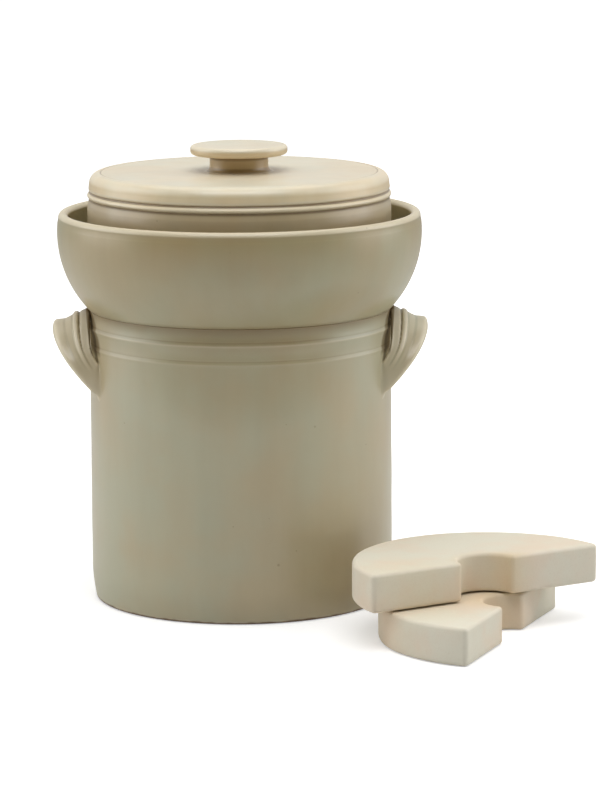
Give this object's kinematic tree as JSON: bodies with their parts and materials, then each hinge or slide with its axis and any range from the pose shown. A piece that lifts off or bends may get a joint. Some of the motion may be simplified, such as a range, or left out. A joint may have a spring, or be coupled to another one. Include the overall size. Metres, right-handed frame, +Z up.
{
  "type": "fermentation crock",
  "caption": "Stoneware fermentation crock with a water gutter round its neck, a knobbed lid standing in the gutter, ribbed strap handles and half-moon pressing stones.",
  "frame": {"origin": "middle of the crock's foot, on the surface that it stands on", "axes": "+Z up along the crock's axis, -Y to the front, the handles on -X and +X, the stones in front on the right"},
  "size_m": [0.3206, 0.3064, 0.2725],
  "materials": {
    "body_glaze": "semi-gloss salt glaze over grey-beige stoneware",
    "lid_glaze": "semi-gloss salt glaze over grey-beige stoneware",
    "stone_bisque": "unglazed, matte, pale cream"
  },
  "bodies": {
    "crock": {"crock_body": "body_glaze", "gutter_bowl": "body_glaze", "left_handle": "body_glaze", "right_handle": "body_glaze"},
    "lid": {"lid": "lid_glaze", "lid_knob": "lid_glaze"},
    "lower_stone": {"lower_stone": "stone_bisque"},
    "upper_stone": {"upper_stone": "stone_bisque"}
  },
  "joints": [
    {"name": "lid_lift", "type": "slide", "parent": "crock", "child": "lid", "axis": [0, 0, 1], "range_m": [0, 0.25]},
    {"name": "lower_stone_lift", "type": "slide", "parent": "crock", "child": "lower_stone", "axis": [0, 0, 1], "range_m": [0, 0.3]},
    {"name": "upper_stone_lift", "type": "slide", "parent": "lower_stone", "child": "upper_stone", "axis": [0, 0, 1], "range_m": [0, 0.2]}
  ]
}
